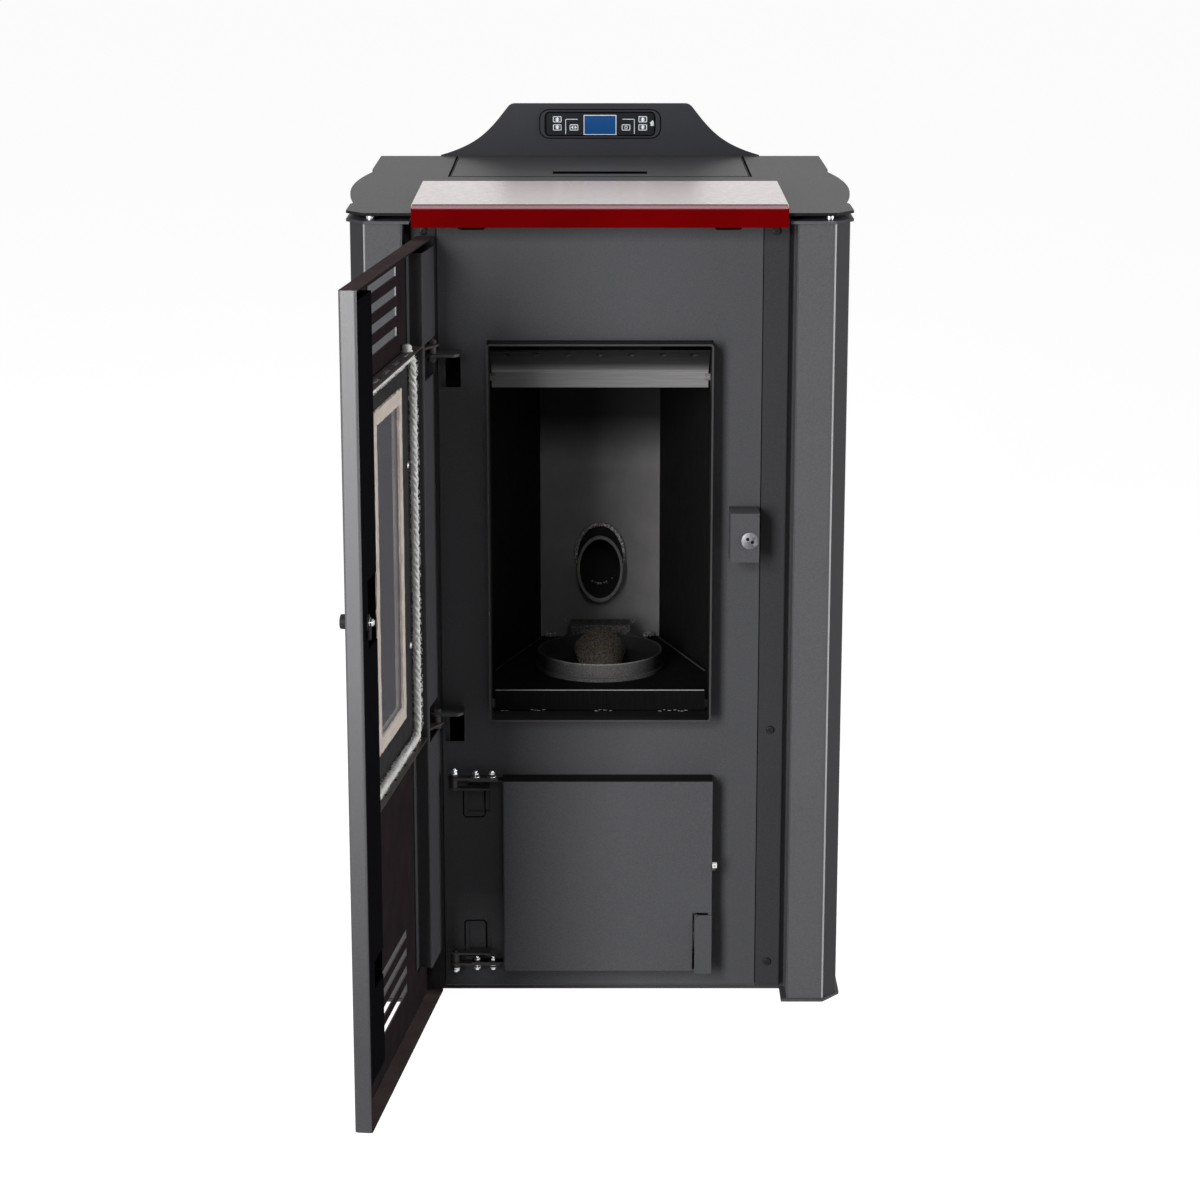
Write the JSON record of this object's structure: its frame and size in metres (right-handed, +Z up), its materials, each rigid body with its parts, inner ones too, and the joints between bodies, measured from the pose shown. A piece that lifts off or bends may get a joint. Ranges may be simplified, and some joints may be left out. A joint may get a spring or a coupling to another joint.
{
  "type": "pellet stove",
  "caption": "Freestanding pellet stove with a hinged glazed door, firebox and burn pot, hopper with auger, ash door and control panel.",
  "frame": {"origin": "on the floor, at the centre of the top plate's plan", "axes": "+Z up, front towards -Y, +X to the right as seen from the front; the main door is open at rest"},
  "size_m": [0.571, 1.0101, 0.9687],
  "materials": {
    "graphite_paint": "fine textured satin",
    "red_enamel": "glossy enamel",
    "firebox_black": "matt heat-proof",
    "primer_brown": "matt primer",
    "zinc": "bright zinc",
    "cast_iron": "sooty",
    "black_plastic": "satin",
    "key_plastic": "satin",
    "blue_screen": "glossy",
    "ceramic_glass": "polished",
    "white_fibre": "braided",
    "beige_fibre": "woven",
    "galvanised": "spangled",
    "dark_latch": "satin"
  },
  "bodies": {
    "stove": {"base_plate": "graphite_paint", "front_plate": "graphite_paint", "front_strip_left": "graphite_paint", "front_strip_right": "graphite_paint", "side_panel_left": "graphite_paint", "side_panel_right": "graphite_paint", "column_front_left": "graphite_paint", "column_front_right": "graphite_paint", "column_rear_left": "graphite_paint", "column_rear_right": "graphite_paint", "column_caps": "graphite_paint", "top_plate": "graphite_paint", "top_cover": "red_enamel", "rear_panel": "galvanised", "control_cowl": "black_plastic", "display_bezel": "black_plastic", "display_screen": "blue_screen", "firebox_shell": "firebox_black", "firebox_collar": "firebox_black", "deflector": "firebox_black", "ash_lip": "firebox_black", "air_box": "firebox_black", "igniter_block": "cast_iron", "drop_tube": "firebox_black", "auger_tube": "galvanised", "auger_motor": "zinc", "hopper_bin": "galvanised", "ash_box": "galvanised", "ash_pan": "galvanised", "exhaust_housing": "galvanised", "flue_spigot": "galvanised", "air_inlet_tube": "galvanised", "blower_housing": "galvanised", "power_inlet": "black_plastic", "latch_keeper": "graphite_paint", "hinge_bolts": "zinc"},
    "main_door": {"door_pan": "graphite_paint", "door_stiffener_left": "graphite_paint", "door_stiffener_right": "graphite_paint", "door_shelf_upper": "primer_brown", "door_shelf_lower": "primer_brown", "window_frame": "firebox_black", "door_glass": "ceramic_glass", "glass_gasket": "beige_fibre", "rope_gasket": "white_fibre", "door_hinge_arms": "graphite_paint"},
    "latch": {"door_latch": "dark_latch"},
    "ash_door_body": {"ash_door": "graphite_paint", "ash_door_arms": "zinc"},
    "lid": {"hopper_lid": "graphite_paint"},
    "pot": {"burn_pot": "cast_iron"},
    "auger": {"auger_screw": "zinc"},
    "exhaust_wheel": {"exhaust_impeller": "zinc"},
    "blower_drum": {"blower_wheel": "zinc"},
    "key_body_up_left": {"key_up_left": "key_plastic"},
    "key_body_down_left": {"key_down_left": "key_plastic"},
    "key_body_set": {"key_set": "key_plastic"},
    "key_body_power": {"key_power": "key_plastic"},
    "key_body_up_right": {"key_up_right": "key_plastic"},
    "key_body_down_right": {"key_down_right": "key_plastic"}
  },
  "joints": [
    {"name": "main_door_hinge", "type": "hinge", "parent": "stove", "child": "main_door", "pos_m": [-0.183, -0.2852, 0.5], "axis": [0, 0, -1], "range_deg": [-97.5, 2.5]},
    {"name": "latch_turn", "type": "hinge", "parent": "main_door", "child": "latch", "pos_m": [-0.2309, -0.65209, 0.542], "axis": [0.9914, -0.1305, 0], "range_deg": [0, 90]},
    {"name": "ash_door_hinge", "type": "hinge", "parent": "stove", "child": "ash_door_body", "pos_m": [-0.165, -0.2765, 0.15], "axis": [0, 0, -1], "range_deg": [0, 90]},
    {"name": "hopper_lid_hinge", "type": "hinge", "parent": "stove", "child": "lid", "pos_m": [0, 0.2825, 0.8965], "axis": [-1, 0, 0], "range_deg": [0, 80]},
    {"name": "burn_pot_lift", "type": "slide", "parent": "stove", "child": "pot", "axis": [0, 0, 1], "range_m": [0, 0.05]},
    {"name": "auger_spin", "type": "hinge", "parent": "stove", "child": "auger", "pos_m": [0, 0.1625, 0.592], "axis": [0, 1, 0], "continuous": true},
    {"name": "exhaust_spin", "type": "hinge", "parent": "stove", "child": "exhaust_wheel", "pos_m": [0.057, 0.1625, 0.15], "axis": [1, 0, 0], "continuous": true},
    {"name": "blower_spin", "type": "hinge", "parent": "stove", "child": "blower_drum", "pos_m": [-0.115, 0.1775, 0.06], "axis": [1, 0, 0], "continuous": true},
    {"name": "key_up_left_press", "type": "slide", "parent": "stove", "child": "key_body_up_left", "axis": [0, 1, 0], "range_m": [0, 0.0006], "stiffness_N_per_m": 400},
    {"name": "key_down_left_press", "type": "slide", "parent": "stove", "child": "key_body_down_left", "axis": [0, 1, 0], "range_m": [0, 0.0006], "stiffness_N_per_m": 400},
    {"name": "key_set_press", "type": "slide", "parent": "stove", "child": "key_body_set", "axis": [0, 1, 0], "range_m": [0, 0.0006], "stiffness_N_per_m": 400},
    {"name": "key_power_press", "type": "slide", "parent": "stove", "child": "key_body_power", "axis": [0, 1, 0], "range_m": [0, 0.0006], "stiffness_N_per_m": 400},
    {"name": "key_up_right_press", "type": "slide", "parent": "stove", "child": "key_body_up_right", "axis": [0, 1, 0], "range_m": [0, 0.0006], "stiffness_N_per_m": 400},
    {"name": "key_down_right_press", "type": "slide", "parent": "stove", "child": "key_body_down_right", "axis": [0, 1, 0], "range_m": [0, 0.0006], "stiffness_N_per_m": 400}
  ]
}
